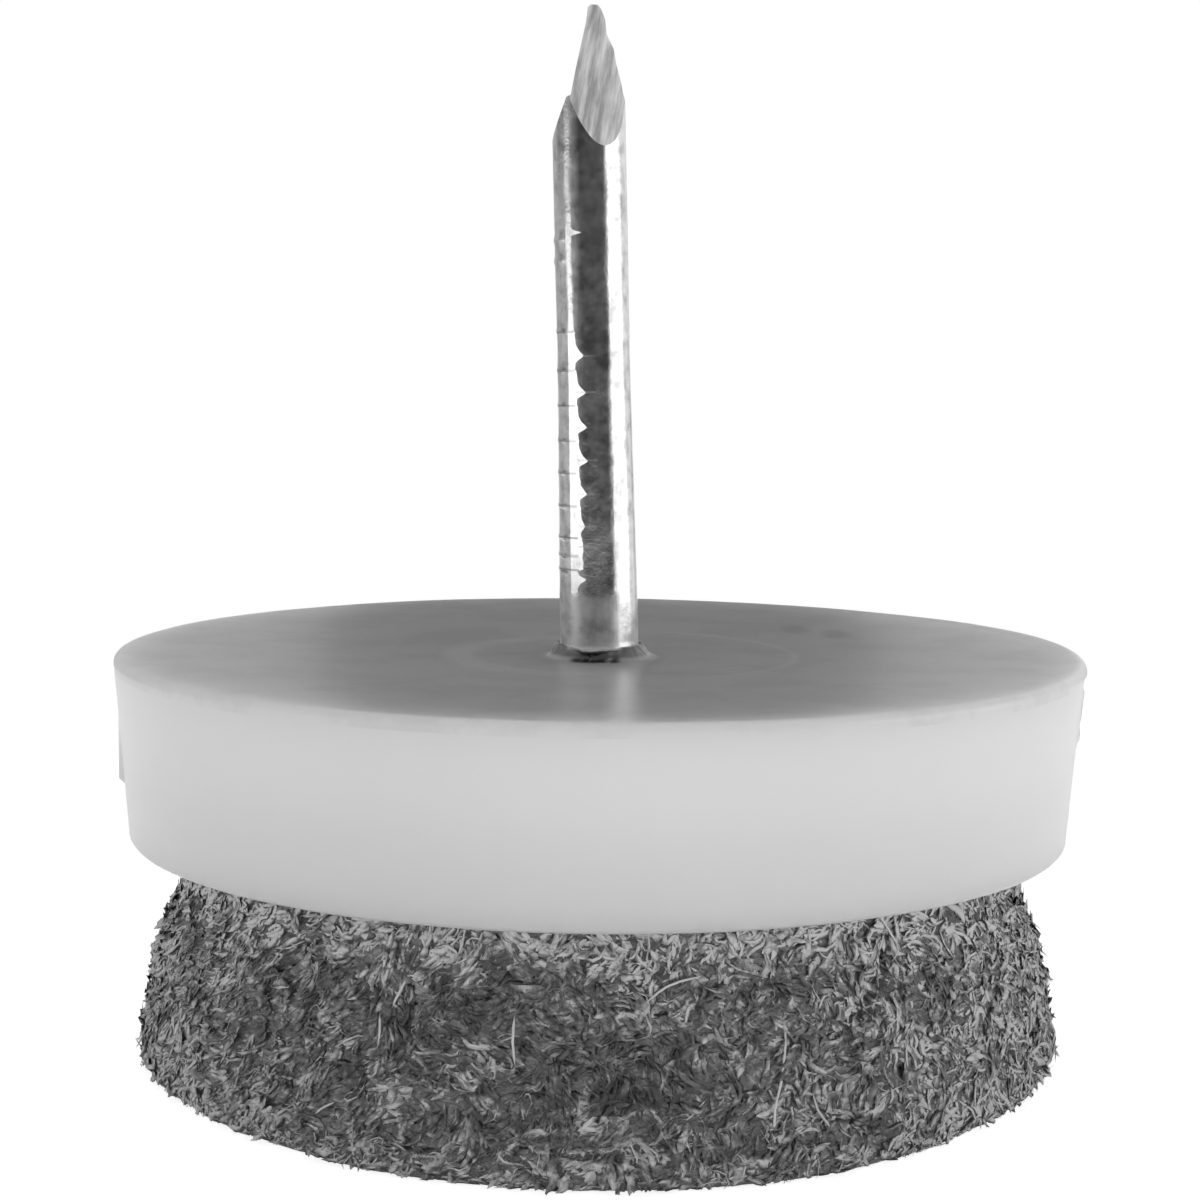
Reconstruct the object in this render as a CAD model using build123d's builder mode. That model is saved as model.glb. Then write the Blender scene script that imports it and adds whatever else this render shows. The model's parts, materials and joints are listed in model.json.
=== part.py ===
"""Felt furniture glide: a nail-on foot for a wooden chair or table leg.

A plated nail stands up through the middle of a moulded plastic base. The base is a low drafted disc,
hollow underneath, and a thick felt pad is glued up into its pocket and bulges out below its rim.
All lengths are in millimetres and all angles in degrees. Z is up, away from the floor, and the origin
is the middle of the face that the felt rests on.
"""

import os
from math import cos, radians, sin, tan

from build123d import *

# Plastic base
base_diameter = 28.0
base_height = 5.2
base_draft = 4.6
edge_radius = 0.2
rim_wall = 1.1
rim_chamfer = 0.2
pocket_depth = 2.2
pocket_draft = 1.5

# Lip of plastic that stands up round the nail
collar_base_diameter = 3.1
collar_top_diameter = 2.56
collar_height = 0.42

# Shallow ring left on the top face by the mould
witness_ring_diameter = 8.6
witness_ring_width = 0.45
witness_ring_depth = 0.04

# Scoop where the gate was broken off, and sliver of flash across from it, both a little to the front
gate_bearing = -12.0
flash_bearing = 192.0
gate_drop = 1.5
gate_scoop_radius = 0.7
gate_scoop_depth = 0.22
flash_width = 0.4
flash_length = 1.95
flash_drop = 1.65

# Nail
shank_diameter = 2.2
nail_reach = 18.6
nail_lean = 1.8
head_diameter = 6.4
head_thickness = 0.9
head_edge = 0.2
head_recess = 0.15
root_diameter = 2.8

# Point of the nail. Two cuts shear its front and back: where each faces, how far from the axis it
# passes the tip, and how steeply it leaves the axis.
front_cut = (-64.4, -0.354, 18.8)
back_cut = (115.6, 0.42, 9.0)

# Two more shear its sides. Seen from the front they pass these places, each as how far out from
# the axis and how far below the tip; the left one was struck twice and has a ledge.
left_shear = ((-0.08, 0.0), (0.505, 2.75), (0.617, 2.75), (1.12, 4.09))
right_shear = ((0.367, 0.0), (1.12, 3.18))

# Marks of the gripping die, down one side of the shank
mark_count = 7
mark_pitch = 0.99
first_mark = 3.33
lone_mark = 11.9
mark_depth = 0.07
mark_width = 0.2
mark_bearing = 205.0
mark_arc = 130.0

# Felt pad and the film of glue above it
felt_thickness = 8.3
felt_diameter = 27.0
widest_height = 1.1
foot_diameter = 25.4
shoulder_diameter = 25.9
shoulder_height = 4.3
neck_exposed = 1.1
adhesive_thickness = 0.3

# Clearances
moulding_gap = 0.02
head_clearance = 0.3
felt_clearance = 0.1
adhesive_clearance = 0.4

# Heights above the floor
rim_z = felt_thickness + adhesive_thickness - pocket_depth
web_z = rim_z + pocket_depth
seat_z = rim_z + base_height

# Radii of the base. The rounded top edge is its widest place, so the wall and the top face
# would meet a little further out if the edge were sharp.
base_radius = base_diameter / 2
wall_slope = tan(radians(base_draft))
corner_radius = base_radius + edge_radius * (wall_slope + 1 / cos(radians(base_draft)) - 1)
rim_radius = corner_radius - base_height * wall_slope
mouth_radius = rim_radius - rim_wall
pocket_radius = mouth_radius - pocket_depth * tan(radians(pocket_draft))

# The felt's neck just fills the pocket, and shows for a short way below the rim
neck_radius = pocket_radius - felt_clearance
neck_z = rim_z - neck_exposed

# The nail leans a little in the base, so it has a section plane and an axis of its own.
# Heights along that axis are counted from the top face.
nail_direction = (-sin(radians(nail_lean)), 0, cos(radians(nail_lean)))
nail_section = Plane(
    origin=(0, 0, seat_z),
    x_dir=(cos(radians(nail_lean)), 0, sin(radians(nail_lean))),
    z_dir=(0, -1, 0),
)
nail_axis = Axis((0, 0, seat_z), nail_direction)
nail_frame = Plane(origin=(0, 0, seat_z), x_dir=nail_section.x_dir, z_dir=nail_direction)
shank_radius = shank_diameter / 2
root_radius = root_diameter / 2
head_radius = head_diameter / 2
head_bottom = pocket_depth - base_height + head_recess
head_top = head_bottom + head_thickness

os.makedirs("parts", exist_ok=True)


# Nail: head, tapered root, plain shank, die marks and sheared point
with BuildPart() as nail:
    with BuildSketch(nail_section):
        with BuildLine():
            Polyline(
                (0, head_bottom),
                (head_radius - head_edge, head_bottom),
                (head_radius, head_bottom + head_edge),
                (head_radius, head_top),
                (root_radius, head_top),
                (shank_radius, collar_height),
                (shank_radius, nail_reach),
                (0, nail_reach),
                close=True,
            )
        make_face()
    revolve(axis=nail_axis)

    for bearing, tip_offset, slope in (front_cut, back_cut):
        outward = Plane(nail_frame * Rotation(0, 0, bearing))
        cut_face = Plane(
            origin=outward.from_local_coords((tip_offset, 0, nail_reach)),
            x_dir=outward.y_dir,
            z_dir=outward.x_dir * cos(radians(slope)) + outward.z_dir * sin(radians(slope)),
        )
        split(bisect_by=cut_face, keep=Keep.BOTTOM)

    with BuildSketch(nail_section):
        for side, shear in ((-1, left_shear), (1, right_shear)):
            with BuildLine():
                Polyline(
                    *[(side * out, nail_reach - drop) for out, drop in shear],
                    (side * shank_diameter, nail_reach - shear[-1][1]),
                    (side * shank_diameter, nail_reach + shank_diameter),
                    (side * shear[0][0], nail_reach + shank_diameter),
                    close=True,
                )
            make_face()
    extrude(amount=shank_diameter, both=True, mode=Mode.SUBTRACT)

    mark_heights = [first_mark + i * mark_pitch for i in range(mark_count)] + [lone_mark]
    mark_start = Plane(nail_frame * Rotation(0, 0, mark_bearing - mark_arc / 2))
    mark_section = Plane(origin=mark_start.origin, x_dir=mark_start.x_dir, z_dir=-mark_start.y_dir)
    with BuildSketch(mark_section):
        for height in mark_heights:
            with BuildLine():
                Polyline(
                    (shank_radius - mark_depth, height),
                    (shank_radius + mark_depth, height - mark_width),
                    (shank_radius + mark_depth, height + mark_width),
                    close=True,
                )
            make_face()
    revolve(axis=nail_axis, revolution_arc=mark_arc, mode=Mode.SUBTRACT)

nail.part.label = "nail"
export_step(nail.part, "parts/nail.step")


# Plastic base: drafted disc with a lip round the nail, hollow underneath
with BuildPart() as plastic_base:
    with BuildSketch(Plane.XZ):
        with BuildLine():
            Polyline(
                (0, web_z),
                (pocket_radius, web_z),
                (mouth_radius, rim_z),
                (rim_radius, rim_z),
                (corner_radius, seat_z),
                (collar_base_diameter / 2, seat_z),
                (collar_top_diameter / 2, seat_z + collar_height),
                (collar_top_diameter / 2, seat_z + collar_height * 2),
                (0, seat_z + collar_height * 2),
                close=True,
            )
        make_face()
    revolve(axis=Axis.Z)

    top_edge = plastic_base.edges().filter_by(GeomType.CIRCLE).sort_by(SortBy.RADIUS)[-1]
    fillet(top_edge, edge_radius)
    rim_edges = plastic_base.faces().filter_by(Axis.Z).sort_by(Axis.Z)[0].edges()
    chamfer(rim_edges, rim_chamfer)

    # Ring sunk into the top face
    with BuildSketch(Plane.XY.offset(seat_z)):
        Circle(witness_ring_diameter / 2 + witness_ring_width / 2)
        Circle(witness_ring_diameter / 2 - witness_ring_width / 2, mode=Mode.SUBTRACT)
    extrude(amount=-witness_ring_depth, mode=Mode.SUBTRACT)

    # Tapered hole for the nail's root, and the counterbore for its head, both along the nail. The
    # same cut ends the lip square to the nail.
    with BuildSketch(nail_section):
        with BuildLine():
            Polyline(
                (0, head_bottom - head_thickness),
                (head_radius + head_clearance, head_bottom - head_thickness),
                (head_radius + head_clearance, head_top + moulding_gap),
                (root_radius + moulding_gap, head_top + moulding_gap),
                (shank_radius + moulding_gap, collar_height),
                (collar_base_diameter, collar_height),
                (collar_base_diameter, collar_height * 3),
                (0, collar_height * 3),
                close=True,
            )
        make_face()
    revolve(axis=nail_axis, mode=Mode.SUBTRACT)

    # Scoop left by the gate
    gate_z = seat_z - gate_drop
    gate_wall = corner_radius - gate_drop * wall_slope
    gate_centre = gate_wall + gate_scoop_radius - gate_scoop_depth
    with Locations(
        (gate_centre * cos(radians(gate_bearing)), gate_centre * sin(radians(gate_bearing)), gate_z)
    ):
        Sphere(gate_scoop_radius, mode=Mode.SUBTRACT)

    # Sliver of flash: upright outside, so that it stands proud where the wall draws in
    flash_top = seat_z - flash_drop
    flash_bottom = flash_top - flash_length
    flash_radius = corner_radius - flash_drop * wall_slope
    flash_outward = (cos(radians(flash_bearing)), sin(radians(flash_bearing)), 0)
    flash_section = Plane(origin=(0, 0, 0), x_dir=flash_outward, z_dir=(flash_outward[1], -flash_outward[0], 0))
    with BuildSketch(flash_section):
        with BuildLine():
            Polyline(
                (flash_radius, flash_top),
                (flash_radius, flash_bottom),
                (mouth_radius, flash_bottom),
                (mouth_radius, flash_top),
                close=True,
            )
        make_face()
    extrude(amount=flash_width / 2, both=True)

plastic_base.part.label = "plastic_base"
export_step(plastic_base.part, "parts/plastic_base.step")


# Adhesive: thin film under the web, over the nail head
with BuildPart() as adhesive_layer:
    with BuildSketch(Plane.XY.offset(web_z - adhesive_thickness)):
        Circle(pocket_radius - adhesive_clearance)
    extrude(amount=adhesive_thickness)

adhesive_layer.part.label = "adhesive_layer"
export_step(adhesive_layer.part, "parts/adhesive_layer.step")


# Felt pad: squeezed neck in the pocket, flaring to a bell below the rim, flat underneath
with BuildPart() as felt_pad:
    with BuildSketch(Plane.XZ):
        with BuildLine():
            Polyline(
                (0, 0),
                (foot_diameter / 2, 0),
                (felt_diameter / 2, widest_height),
                (shoulder_diameter / 2, shoulder_height),
                (neck_radius, neck_z),
                (neck_radius, felt_thickness),
                (0, felt_thickness),
                close=True,
            )
        make_face()
    revolve(axis=Axis.Z)

felt_pad.part.label = "felt_pad"
export_step(felt_pad.part, "parts/felt_pad.step")
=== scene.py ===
"""Dresses the felt furniture glide: plated nail, moulded base, glue film, felt pad and its loose wool.

Sizes in the settings and in the outlines are millimetres in the glide's own frame, with the floor at
height 0 and the front towards -Y. Meshes are made in metres.
"""

import json
import math

import bmesh
import bpy
from mathutils import Matrix, Vector, noise


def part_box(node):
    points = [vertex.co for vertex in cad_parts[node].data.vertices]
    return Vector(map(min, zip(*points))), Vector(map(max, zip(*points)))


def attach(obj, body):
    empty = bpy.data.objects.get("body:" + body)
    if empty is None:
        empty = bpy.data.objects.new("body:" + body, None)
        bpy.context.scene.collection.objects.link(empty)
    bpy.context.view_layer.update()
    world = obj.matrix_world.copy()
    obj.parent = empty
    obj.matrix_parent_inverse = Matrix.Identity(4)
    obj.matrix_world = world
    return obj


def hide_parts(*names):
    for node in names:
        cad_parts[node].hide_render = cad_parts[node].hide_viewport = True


bl_info = {
    "name": "Felt furniture glide",
    "version": (1, 0, 0),
    "blender": (4, 5, 0),
    "location": "3D View > Sidebar > Glide",
    "description": "Builds the nail, base, felt and loose wool of a nail-on furniture glide",
    "category": "Object",
}

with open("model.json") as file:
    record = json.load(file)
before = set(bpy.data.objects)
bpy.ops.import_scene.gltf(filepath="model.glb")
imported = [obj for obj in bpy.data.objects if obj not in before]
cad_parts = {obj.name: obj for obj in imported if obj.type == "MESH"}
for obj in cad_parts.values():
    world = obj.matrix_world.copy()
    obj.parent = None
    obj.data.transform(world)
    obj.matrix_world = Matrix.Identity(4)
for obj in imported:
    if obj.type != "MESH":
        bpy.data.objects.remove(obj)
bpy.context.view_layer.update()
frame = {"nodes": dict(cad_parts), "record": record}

MM = 0.001
BODY = "root"

# What the frame says about the pieces, in millimetres
base_low, base_high = (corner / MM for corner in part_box("plastic_base"))
felt_low, felt_high = (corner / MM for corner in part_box("felt_pad"))
nail_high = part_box("nail")[1] / MM
glue_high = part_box("adhesive_layer")[1] / MM
mounts = {mount["name"]: mount for mount in frame["record"]["mounts"]}
SEAT_Z = mounts["seat_face"]["pos_m"][2] / MM
RIM_Z = base_low.z
WEB_Z = glue_high.z
BASE_RADIUS = (base_high.x - base_low.x) / 2
FELT_RADIUS = (felt_high.x - felt_low.x) / 2
FELT_TOP = felt_high.z
NAIL_AXIS = Vector(mounts["nail_shank"]["axis"]).normalized()
SHANK_RADIUS = mounts["nail_shank"]["dims"]["r_mm"]
NAIL_REACH = (nail_high.z - SEAT_Z) / NAIL_AXIS.z
NAIL_LEAN = -NAIL_AXIS.x / NAIL_AXIS.z

# The moulded base: drafts of its wall and its pocket in degrees, radius of its top edge, wall at the rim
BASE_DRAFT = 4.6
POCKET_DRAFT = 1.5
BASE_EDGE = 0.2
RIM_WALL = 1.1

# Scar of the gate on its wall and sliver of flash: bearing in degrees from +X, drop below the top face
GATE_BEARING, GATE_DROP, GATE_WIDTH, GATE_HEIGHT = -12, 1.45, 0.42, 0.55
FLASH_BEARING, FLASH_DROP, FLASH_LENGTH = 192, 1.65, 1.95

# The lip of plastic round the nail: its height, and the reach within which all of it lies
LIP_HEIGHT = 0.42
LIP_REACH = 1.8

# The length of shank that the dies marked, and where their small flats face, in degrees from +X
MARKED_LENGTH = 12.5
FLATS_BEARING = 232.5
FLATS_START = 226
FLATS_MIDDLE = 237


def smoothstep(low, high, value):
    """0 below low, 1 above high, and a soft ramp between them."""
    share = min(max((value - low) / (high - low), 0.0), 1.0)
    return share * share * (3 - 2 * share)


def bump_at(distance, width):
    """A soft hump, 1 in the middle and falling away over the width."""
    return math.exp(-((distance / width) ** 2))


def turn_from(bearing, centre):
    """How far a bearing lies from a centre bearing, in degrees from -180 to 180."""
    return (bearing - centre + 180) % 360 - 180


def smooth_through(points, step):
    """Points about a step apart on a smooth line through the given (radius, height) points."""
    padded = [points[0], *points, points[-1]]
    line = []
    for before, start, end, after in zip(padded, padded[1:], padded[2:], padded[3:]):
        count = max(1, round(math.dist(start, end) / step))
        for i in range(count):
            t = i / count
            line.append(
                tuple(
                    0.5
                    * (
                        2 * b
                        + (c - a) * t
                        + (2 * a - 5 * b + 4 * c - d) * t**2
                        + (3 * b - a - 3 * c + d) * t**3
                    )
                    for a, b, c, d in zip(before, start, end, after)
                )
            )
    line.append(points[-1])
    return line


def straight_through(points, step):
    """Points about a step apart on the straight runs between the given (radius, height) points."""
    line = []
    for start, end in zip(points, points[1:]):
        count = max(1, round(math.dist(start, end) / step))
        for i in range(count):
            t = i / count
            line.append((start[0] + (end[0] - start[0]) * t, start[1] + (end[1] - start[1]) * t))
    line.append(points[-1])
    return line


def arc_points(centre, radius, start, end, count):
    """Points on an arc between two angles in degrees, both ends included."""
    angles = [math.radians(start + (end - start) * i / count) for i in range(count + 1)]
    return [(centre[0] + radius * math.cos(a), centre[1] + radius * math.sin(a)) for a in angles]


def outline_normals(outline, closed):
    """The outward direction, to the right of travel, at each point of a (radius, height) outline."""
    normals = []
    last = len(outline) - 1
    for i in range(len(outline)):
        before = outline[i - 1] if closed or i > 0 else outline[i]
        after = outline[(i + 1) % len(outline)] if closed or i < last else outline[i]
        run, rise = after[0] - before[0], after[1] - before[1]
        length = math.hypot(run, rise) or 1.0
        normals.append((rise / length, -run / length))
    return normals


def turned_mesh(name, outline, segments, closed, shift):
    """Turns an outline round the upright axis. It runs anticlockwise as seen with radius to the right, so
    that the faces point outwards. shift(radius, height, bearing) says how far each point is pushed out."""
    vertices, rings = [], []
    for (radius, height), (out_r, out_z) in zip(outline, outline_normals(outline, closed)):
        if radius == 0:
            rings.append([len(vertices)])
            vertices.append((0, 0, height * MM))
            continue
        ring = []
        for i in range(segments):
            bearing = 360 * i / segments
            push = shift(radius, height, bearing)
            r, z = radius + out_r * push, height + out_z * push
            angle = math.radians(bearing)
            ring.append(len(vertices))
            vertices.append((r * math.cos(angle) * MM, r * math.sin(angle) * MM, z * MM))
        rings.append(ring)
    faces = []
    pairs = list(zip(rings, rings[1:]))
    if closed:
        pairs.append((rings[-1], rings[0]))
    for here, there in pairs:
        for i in range(segments):
            j = (i + 1) % segments
            if len(here) == 1:
                faces.append((here[0], there[j], there[i]))
            elif len(there) == 1:
                faces.append((here[i], here[j], there[0]))
            else:
                faces.append((here[i], here[j], there[j], there[i]))
    mesh = bpy.data.meshes.new(name)
    mesh.from_pydata(vertices, [], faces)
    mesh.validate()
    return mesh


def linked(mesh, name):
    """Puts a mesh in the scene as a piece, as it is."""
    piece = bpy.data.objects.new(name, mesh)
    bpy.context.scene.collection.objects.link(piece)
    return piece


def shown(mesh, name, material, angle=None):
    """Puts a mesh in the scene as a piece with one material, smooth apart from edges over the angle."""
    mesh.materials.clear()
    mesh.materials.append(material)
    mesh.shade_smooth()
    if angle is not None:
        mesh.set_sharp_from_angle(angle=math.radians(angle))
    return linked(mesh, name)


def joined(tree, node, inputs):
    """Sets each input of a node, named by its identifier, to a value or joins it to a socket."""
    sockets = {s.identifier: s for s in node.inputs}
    for name, value in inputs.items():
        if isinstance(value, bpy.types.NodeSocket):
            tree.links.new(value, sockets[name])
        else:
            sockets[name].default_value = value
    return node


def placed(tree, kind, inputs, **settings):
    """A new node with its settings and its inputs, and its first output that is in use."""
    node = tree.nodes.new(kind)
    for name, value in settings.items():
        setattr(node, name, value)
    joined(tree, node, inputs)
    return next(s for s in node.outputs if s.enabled)


def bare_material(name):
    """A material with an empty node tree and an output."""
    material = bpy.data.materials.new(name)
    material.use_nodes = True
    tree = material.node_tree
    tree.nodes.clear()
    return material, tree, tree.nodes.new("ShaderNodeOutputMaterial").inputs["Surface"]


def new_material(name):
    """A material with a principled shader on its output."""
    material, tree, surface = bare_material(name)
    shader = tree.nodes.new("ShaderNodeBsdfPrincipled")
    tree.links.new(shader.outputs["BSDF"], surface)
    return material, tree, shader


def plain(grey):
    """A grey as a colour."""
    return (grey, grey, grey, 1)


def object_place(tree):
    """The place on the piece, in metres."""
    return tree.nodes.new("ShaderNodeTexCoord").outputs["Object"]


def object_point(tree, scale=(1, 1, 1)):
    """The place on the piece, stretched by a scale."""
    return placed(tree, "ShaderNodeMapping", {"Vector": object_place(tree), "Scale": scale})


def cloud(tree, vector, scale, detail=3.0, roughness=0.5, distortion=0.0):
    """A noise texture's value, with its scale in features to the metre."""
    inputs = {"Vector": vector, "Scale": scale, "Detail": detail, "Roughness": roughness}
    return placed(tree, "ShaderNodeTexNoise", {**inputs, "Distortion": distortion})


def ramp(tree, value, stops):
    """A colour ramp through (position, grey) stops."""
    node = tree.nodes.new("ShaderNodeValToRGB")
    for element, (position, grey) in zip(node.color_ramp.elements, (stops[0], stops[-1])):
        element.position = position
        element.color = plain(grey)
    for position, grey in stops[1:-1]:
        node.color_ramp.elements.new(position).color = plain(grey)
    tree.links.new(value, node.inputs["Fac"])
    return node.outputs["Color"]


def math_of(tree, operation, first, second=0.0):
    """A math node on two values, each a socket or a number."""
    return placed(tree, "ShaderNodeMath", {"Value": first, "Value_001": second}, operation=operation)


def product(tree, first, *others):
    """Values multiplied, each a socket or a number."""
    for other in others:
        first = math_of(tree, "MULTIPLY", first, other)
    return first


def total(tree, first, *others):
    """Values added up, each a socket or a number."""
    for other in others:
        first = math_of(tree, "ADD", first, other)
    return first


def mask(tree, value, low, high):
    """A soft step that is 0 at low and 1 at high, and may run downwards."""
    inputs = {"Value": value, "From Min": low, "From Max": high}
    return placed(tree, "ShaderNodeMapRange", inputs, interpolation_type="SMOOTHSTEP")


def blended(tree, under, colour, share):
    """A colour laid over another by a share."""
    inputs = {"Factor_Float": share, "A_Color": under, "B_Color": colour}
    return placed(tree, "ShaderNodeMix", inputs, data_type="RGBA")


def new_place(tree):
    """The place on the piece in millimetres: x, y, height, and reach from the upright axis."""
    apart = tree.nodes.new("ShaderNodeSeparateXYZ")
    tree.links.new(object_place(tree), apart.inputs["Vector"])
    x, y, z = (product(tree, apart.outputs[axis], 1 / MM) for axis in "XYZ")
    squares = total(tree, product(tree, x, x), product(tree, y, y))
    return {"x": x, "y": y, "height": z, "reach": math_of(tree, "SQRT", squares)}


def relief(tree, shader, height, distance, under=None):
    """Bumps the surface by a height, on top of another bump if one is given."""
    inputs = {"Strength": 1.0, "Distance": distance * MM, "Height": height}
    if under is not None:
        inputs["Normal"] = under
    facing = placed(tree, "ShaderNodeBump", inputs)
    tree.links.new(facing, shader.inputs["Normal"])
    return facing


def swayed(tree, shader, normal, towards, share):
    """Swings the facing of the surface by a share towards a direction, a socket or three numbers."""
    inputs = {"Factor_Float": share, "A_Vector": normal, "B_Vector": towards}
    facing = placed(tree, "ShaderNodeMix", inputs, data_type="VECTOR")
    unit = placed(tree, "ShaderNodeVectorMath", {"Vector": facing}, operation="NORMALIZE")
    tree.links.new(unit, shader.inputs["Normal"])


def plated_steel(settings):
    """Bright zinc on drawn wire: streaks along the nail, faint pits, and painted shade as dark lines at the
    die's ridges.
    """
    material, tree, shader = new_material("plated_steel")
    grey = settings.steel_grey
    streaks = cloud(tree, object_point(tree, (1, 1, 0.06)), 3500, detail=4, roughness=0.6)
    mottle = cloud(tree, object_point(tree), 2400)
    grain = cloud(tree, object_point(tree), 6500, roughness=0.7)
    tone = total(tree, product(tree, streaks, 0.3), product(tree, mottle, 0.7))
    body = ramp(tree, tone, [(0.36, grey * 0.68), (0.5, grey), (0.62, grey * 1.15)])

    # Height above the top face, also as a share of the marked length, and place across the nail
    place = new_place(tree)
    rise = math_of(tree, "SUBTRACT", place["height"], SEAT_Z)
    slant = product(tree, place["x"], 0.002)
    share = math_of(tree, "SUBTRACT", product(tree, rise, 1 / MARKED_LENGTH), slant)
    across = total(tree, place["x"], product(tree, rise, NAIL_LEAN))

    def fine_lines(heights, before, after, middle=0.0):
        """Fine level lines at heights in mm above the top face."""
        stops = []
        for height in heights:
            for step, light in ((before, 0), (middle, 1), (after, 0)):
                stops.append(((height + step) / MARKED_LENGTH, light))
        return ramp(tree, share, stops)

    # Painted shade: dark lines at the ridges on the left, and faint hair lines in front at the points of the
    # flats
    left = mask(tree, across, -0.52, -0.58)
    line = product(tree, fine_lines(GRIP_RIDGES, -0.06, 0.04, -0.01), left, 0.85)
    points = [low + peak * (high - low) for low, high, _, _, peak in GRIP_DENTS[:-2]]
    front = product(tree, mask(tree, across, -0.6, -0.5), mask(tree, across, 0.25, -0.2))
    hair = product(tree, fine_lines(points, -0.035, 0.035), front, 0.16)
    # Just above the lip the plating is dull, apart from the right
    dull = product(tree, mask(tree, rise, 1.8, 1.5), mask(tree, across, 0.7, 0.4), 0.24)
    haze = total(tree, ramp(tree, mottle, [(0.2, 0.14), (0.8, 0.24)]), hair, dull)
    # Painted shade: the steel's colour is darkened along the ridge lines
    ridge_shaded = blended(tree, body, plain(grey * 0.22), line)
    joined(tree, shader, {"Metallic": 1.0, "Base Color": ridge_shaded, "Roughness": haze})

    # The die's small flats all face the front left, square to the nail
    facing = relief(tree, shader, grain, 0.005, under=relief(tree, shader, streaks, 0.006))
    pressed = tree.nodes.new("ShaderNodeAttribute")
    pressed.attribute_name = "pressed"
    turn = math.radians(FLATS_BEARING)
    flat = Vector((math.cos(turn), math.sin(turn), 0))
    flat = (flat - NAIL_AXIS * flat.dot(NAIL_AXIS)).normalized()
    swayed(tree, shader, facing, tuple(flat), mask(tree, pressed.outputs["Fac"], 0.0, 1.6))
    return material


def sheared_steel(settings):
    """The cut faces of the point: paler, with coarse tear lines along the cut."""
    material, tree, shader = new_material("sheared_steel")
    along = placed(
        tree,
        "ShaderNodeMapping",
        {"Vector": object_place(tree), "Rotation": (0, math.radians(9), 0), "Scale": (1, 4, 16)},
        vector_type="TEXTURE",
    )
    lines = cloud(tree, along, 3800, detail=4, roughness=0.65)
    grey = settings.steel_grey
    colour = ramp(tree, lines, [(0.36, grey * 0.46), (0.5, grey * 0.74), (0.62, grey)])
    joined(tree, shader, {"Metallic": 1.0, "Base Color": colour, "Roughness": 0.42})
    relief(tree, shader, lines, 0.015)
    return material


# Where the top face is smudged, in mm from the upright axis
SMUDGES = ((6.22, 5.82), (7.4, 4.6))


def white_plastic(settings):
    """Natural white moulded plastic: satin, slightly clouded, with fine turning lines on its top."""
    material, tree, shader = new_material("white_plastic")
    grey = settings.plastic_grey
    clouds = cloud(tree, object_point(tree), 160, detail=4, roughness=0.6)
    body = ramp(tree, clouds, [(0.0, grey * 0.95), (1.0, grey * 1.03)])
    place = new_place(tree)
    x, y, height, reach = (place[key] for key in ("x", "y", "height", "reach"))

    # Painted shade: the lip round the nail is darkened, and where it is torn open in front the shade inside
    # the tear is painted near black
    near = mask(tree, reach, 1.85, 1.65)
    # Painted shade on the lip round the nail
    thin = product(tree, mask(tree, height, SEAT_Z - 0.2, SEAT_Z - 0.08), near)
    shaded = blended(tree, body, plain(grey * 0.25), thin)
    torn = cloud(tree, object_point(tree), 2600)
    front = product(tree, mask(tree, y, -1.0, -1.25), mask(tree, reach, 1.75, 1.6))
    low = product(tree, mask(tree, x, -0.95, -0.7), mask(tree, x, 0.7, 0.45))
    low = product(tree, low, mask(tree, height, SEAT_Z + 0.04, SEAT_Z - 0.03))
    # The shade inside the tear in front of the lip, painted near black
    torn_gap_shade = product(tree, front, low, mask(tree, torn, 0.36, 0.44))

    # Faint blots on the top face
    top = mask(tree, height, SEAT_Z - 0.4, SEAT_Z - 0.35)
    blots = cloud(tree, object_point(tree), 420, detail=5, roughness=0.65)
    blots = product(tree, mask(tree, blots, 0.42, 0.62), product(tree, top, 0.16))
    shaded = blended(tree, shaded, plain(grey * 0.45), blots)

    # The mould left a paler ring, stronger on the left, and a thin arc on the right
    ring = product(tree, mask(tree, reach, 3.4, 4.0), mask(tree, reach, 4.9, 4.3), mask(tree, x, 1.5, -2.5))
    arc = product(tree, mask(tree, reach, 5.55, 5.7), mask(tree, reach, 5.95, 5.75), mask(tree, x, 0.5, 2.5))
    marks = total(tree, product(tree, ring, 0.55), product(tree, arc, 0.5))
    shaded = blended(tree, shaded, plain(1), product(tree, marks, mask(tree, clouds, 0.3, 0.6)))

    for smudge_x, smudge_y in SMUDGES:
        across = product(tree, math_of(tree, "SUBTRACT", x, smudge_x), 1.6)
        along = product(tree, math_of(tree, "SUBTRACT", y, smudge_y), 0.7)
        squares = total(tree, product(tree, across, across), product(tree, along, along))
        smudge = product(tree, mask(tree, squares, 0.9, 0.0), 0.3, top)
        shaded = blended(tree, shaded, plain(grey * 0.3), smudge)

    # The haze stays rougher than 0.28, or the denoiser leaves hard-edged patches where it is smoother
    haze = ramp(tree, cloud(tree, object_point(tree), 700, detail=4), [(0.0, 0.285), (1.0, 0.345)])
    joined(
        tree,
        shader,
        {
            # Painted shade: near black in the tear in front of the lip
            "Base Color": blended(tree, shaded, plain(0.012), torn_gap_shade),
            "Roughness": haze,
            "Specular IOR Level": settings.plastic_gloss,
            "Subsurface Weight": settings.plastic_depth,
            "Subsurface Radius": (1.0, 1.0, 1.0),
            "Subsurface Scale": 4.0 * MM,
        },
    )
    turning = placed(tree, "ShaderNodeCombineXYZ", {"X": product(tree, reach, MM)})
    under = relief(tree, shader, cloud(tree, turning, 3200), 0.004)
    relief(tree, shader, cloud(tree, object_point(tree), 4200), 0.004, under=under)
    return material


def glue_film():
    """Cloudy hot-melt glue."""
    material, tree, shader = new_material("glue_film")
    clouds = cloud(tree, object_point(tree), 400, detail=4)
    colour = ramp(tree, clouds, [(0.3, 0.42), (0.7, 0.6)])
    joined(tree, shader, {"Base Color": colour, "Roughness": 0.35})
    joined(tree, shader, {"Subsurface Weight": 0.2, "Subsurface Scale": 0.3 * MM})
    relief(tree, shader, clouds, 0.02)
    return material


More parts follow.
